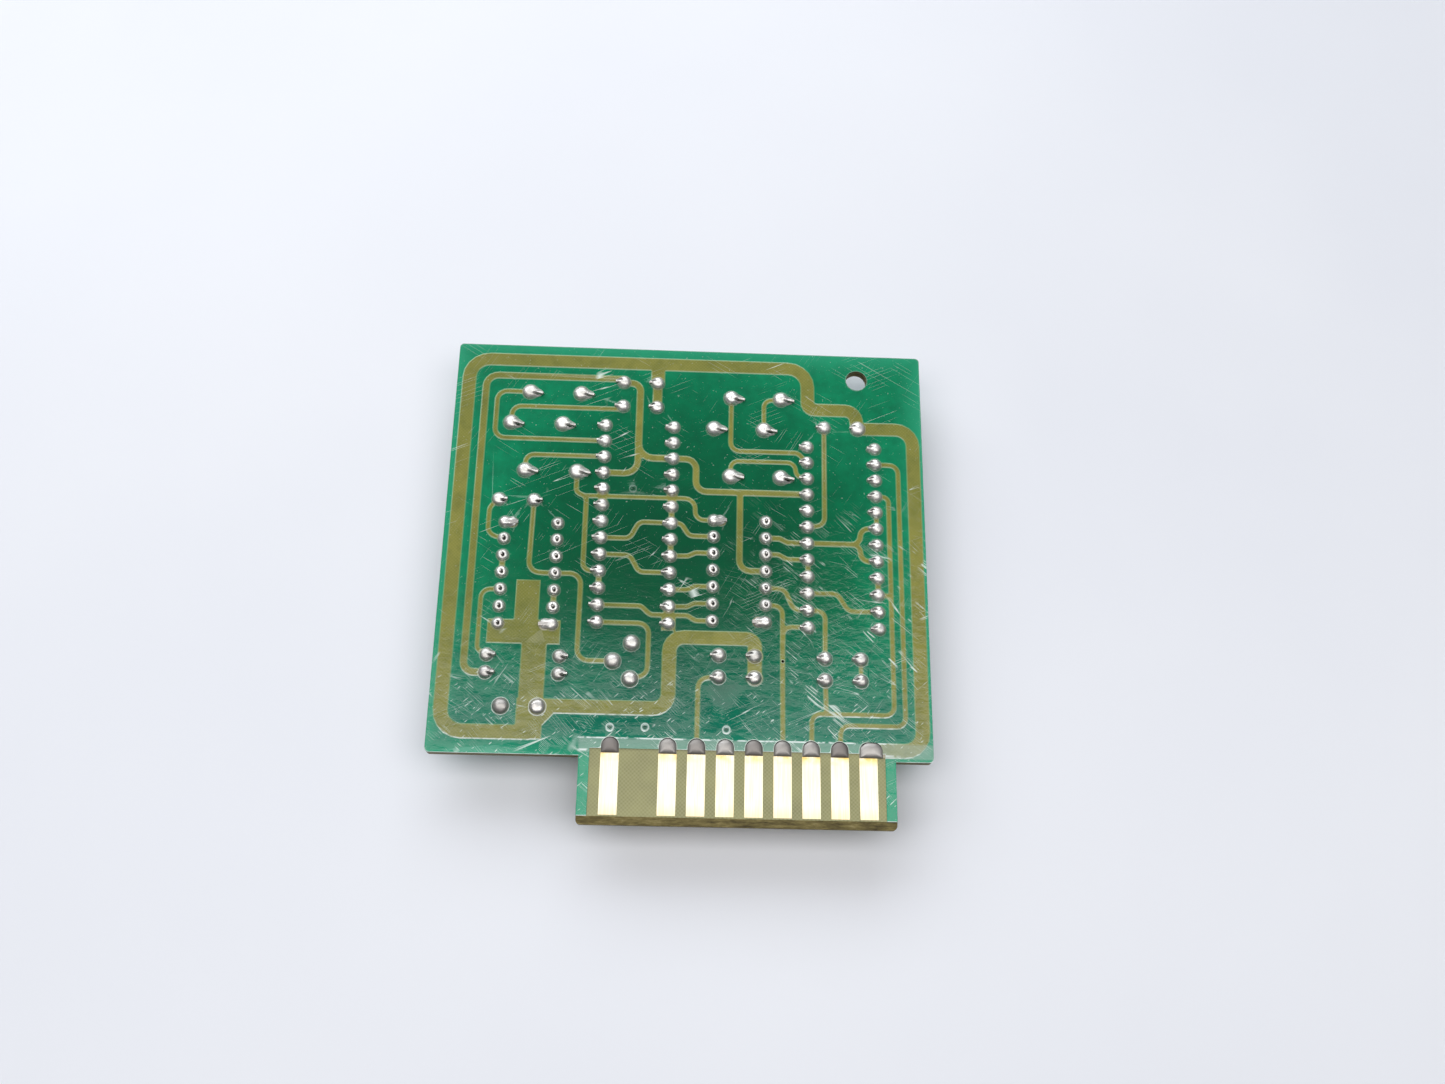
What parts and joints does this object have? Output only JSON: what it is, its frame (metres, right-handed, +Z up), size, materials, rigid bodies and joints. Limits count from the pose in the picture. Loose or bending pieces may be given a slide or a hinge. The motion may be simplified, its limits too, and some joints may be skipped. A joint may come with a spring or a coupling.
{
  "type": "servo driver board",
  "caption": "Double-sided plug-in servo amplifier card, solder side up, with an edge connector tongue and trimmers that turn.",
  "frame": {"origin": "middle of the board's outline in X and Y, on the surface that the card rests on", "axes": "+Z is up, out of the solder side; +X is to the right with the edge connector tongue towards the viewer; +Y points away from the tongue"},
  "size_m": [0.07, 0.0716, 0.0091],
  "materials": {
    "fr4_laminate": "glass-fibre epoxy laminate, satin cut edges",
    "copper_foil": "etched copper foil, bare where not covered",
    "solder_resist": "glossy green solder resist with fine scratches",
    "gold_contacts": "hard gold plating, fine insertion scratches",
    "solder": "satin tin-lead solder",
    "ic_plastic": "moulded black epoxy",
    "tinned_leads": "tinned copper and steel leads",
    "resistor_lacquer": "tan lacquer with painted bands",
    "disc_coating": "dipped phenolic coating",
    "film_case": "moulded polyester case",
    "tantalum_coating": "dipped epoxy bead",
    "transistor_plastic": "moulded black epoxy",
    "trimmer_case": "moulded blue plastic housing",
    "trimmer_ceramic": "alumina base with resistive track",
    "trimmer_brass": "turned brass screw",
    "trimmer_nylon": "moulded nylon nut"
  },
  "bodies": {
    "board": {"laminate": "fr4_laminate", "solder_side_copper": "copper_foil", "component_side_copper": "copper_foil", "solder_side_resist": "solder_resist", "component_side_resist": "solder_resist", "solder_side_fingers": "gold_contacts", "component_side_fingers": "gold_contacts", "finger_tinning": "solder", "via_barrels": "copper_foil", "resistor_solder": "solder", "ic_solder": "solder", "capacitor_solder": "solder", "trimmer_solder": "solder", "transistor_solder": "solder", "left_ic_body": "ic_plastic", "left_ic_leads": "tinned_leads", "right_ic_body": "ic_plastic", "right_ic_leads": "tinned_leads", "left_resistor_bodies": "resistor_lacquer", "left_resistor_leads": "tinned_leads", "right_resistor_bodies": "resistor_lacquer", "right_resistor_leads": "tinned_leads", "lower_resistor_bodies": "resistor_lacquer", "lower_resistor_leads": "tinned_leads", "disc_capacitor_1": "disc_coating", "disc_capacitor_2": "disc_coating", "disc_capacitor_3": "disc_coating", "disc_capacitor_4": "disc_coating", "film_capacitor_1": "film_case", "film_capacitor_2": "film_case", "film_capacitor_3": "film_case", "film_capacitor_4": "film_case", "disc_capacitor_leads": "tinned_leads", "film_capacitor_leads": "tinned_leads", "tantalum_capacitor": "tantalum_coating", "tantalum_leads": "tinned_leads", "transistor_body": "transistor_plastic", "transistor_leads": "tinned_leads", "trimmer_1_housing": "trimmer_case", "trimmer_2_housing": "trimmer_case", "trimmer_3_housing": "trimmer_case", "trimmer_4_housing": "trimmer_case", "trimmer_1_element": "trimmer_ceramic", "trimmer_2_element": "trimmer_ceramic", "trimmer_3_element": "trimmer_ceramic", "trimmer_4_element": "trimmer_ceramic", "trimmer_1_pins": "tinned_leads", "trimmer_2_pins": "tinned_leads", "trimmer_3_pins": "tinned_leads", "trimmer_4_pins": "tinned_leads"},
    "adjuster_1": {"trimmer_1_screw": "trimmer_brass"},
    "wiper_1": {"trimmer_1_carriage": "trimmer_nylon"},
    "adjuster_2": {"trimmer_2_screw": "trimmer_brass"},
    "wiper_2": {"trimmer_2_carriage": "trimmer_nylon"},
    "adjuster_3": {"trimmer_3_screw": "trimmer_brass"},
    "wiper_3": {"trimmer_3_carriage": "trimmer_nylon"},
    "adjuster_4": {"trimmer_4_screw": "trimmer_brass"},
    "wiper_4": {"trimmer_4_carriage": "trimmer_nylon"}
  },
  "joints": [
    {"name": "adjuster_1_turn", "type": "hinge", "parent": "board", "child": "adjuster_1", "pos_m": [-0.02522, 0.03121, 0.003], "axis": [0, 1, 0], "range_deg": [-2700, 2700]},
    {"name": "wiper_1_travel", "type": "slide", "parent": "board", "child": "wiper_1", "axis": [0, 1, 0], "range_m": [-0.00475, 0.00475]},
    {"name": "adjuster_2_turn", "type": "hinge", "parent": "board", "child": "adjuster_2", "pos_m": [-0.01757, 0.03121, 0.003], "axis": [0, 1, 0], "range_deg": [-2700, 2700]},
    {"name": "wiper_2_travel", "type": "slide", "parent": "board", "child": "wiper_2", "axis": [0, 1, 0], "range_m": [-0.00475, 0.00475]},
    {"name": "adjuster_3_turn", "type": "hinge", "parent": "board", "child": "adjuster_3", "pos_m": [0.00503, 0.03121, 0.003], "axis": [0, 1, 0], "range_deg": [-2700, 2700]},
    {"name": "wiper_3_travel", "type": "slide", "parent": "board", "child": "wiper_3", "axis": [0, 1, 0], "range_m": [-0.00475, 0.00475]},
    {"name": "adjuster_4_turn", "type": "hinge", "parent": "board", "child": "adjuster_4", "pos_m": [0.01248, 0.03121, 0.003], "axis": [0, 1, 0], "range_deg": [-2700, 2700]},
    {"name": "wiper_4_travel", "type": "slide", "parent": "board", "child": "wiper_4", "axis": [0, 1, 0], "range_m": [-0.00475, 0.00475]}
  ],
  "couplings": [
    {"joint": "adjuster_1_turn", "follows": "wiper_1_travel", "rad_per_m": 9895},
    {"joint": "adjuster_2_turn", "follows": "wiper_2_travel", "rad_per_m": 9895},
    {"joint": "adjuster_3_turn", "follows": "wiper_3_travel", "rad_per_m": 9895},
    {"joint": "adjuster_4_turn", "follows": "wiper_4_travel", "rad_per_m": 9895}
  ]
}
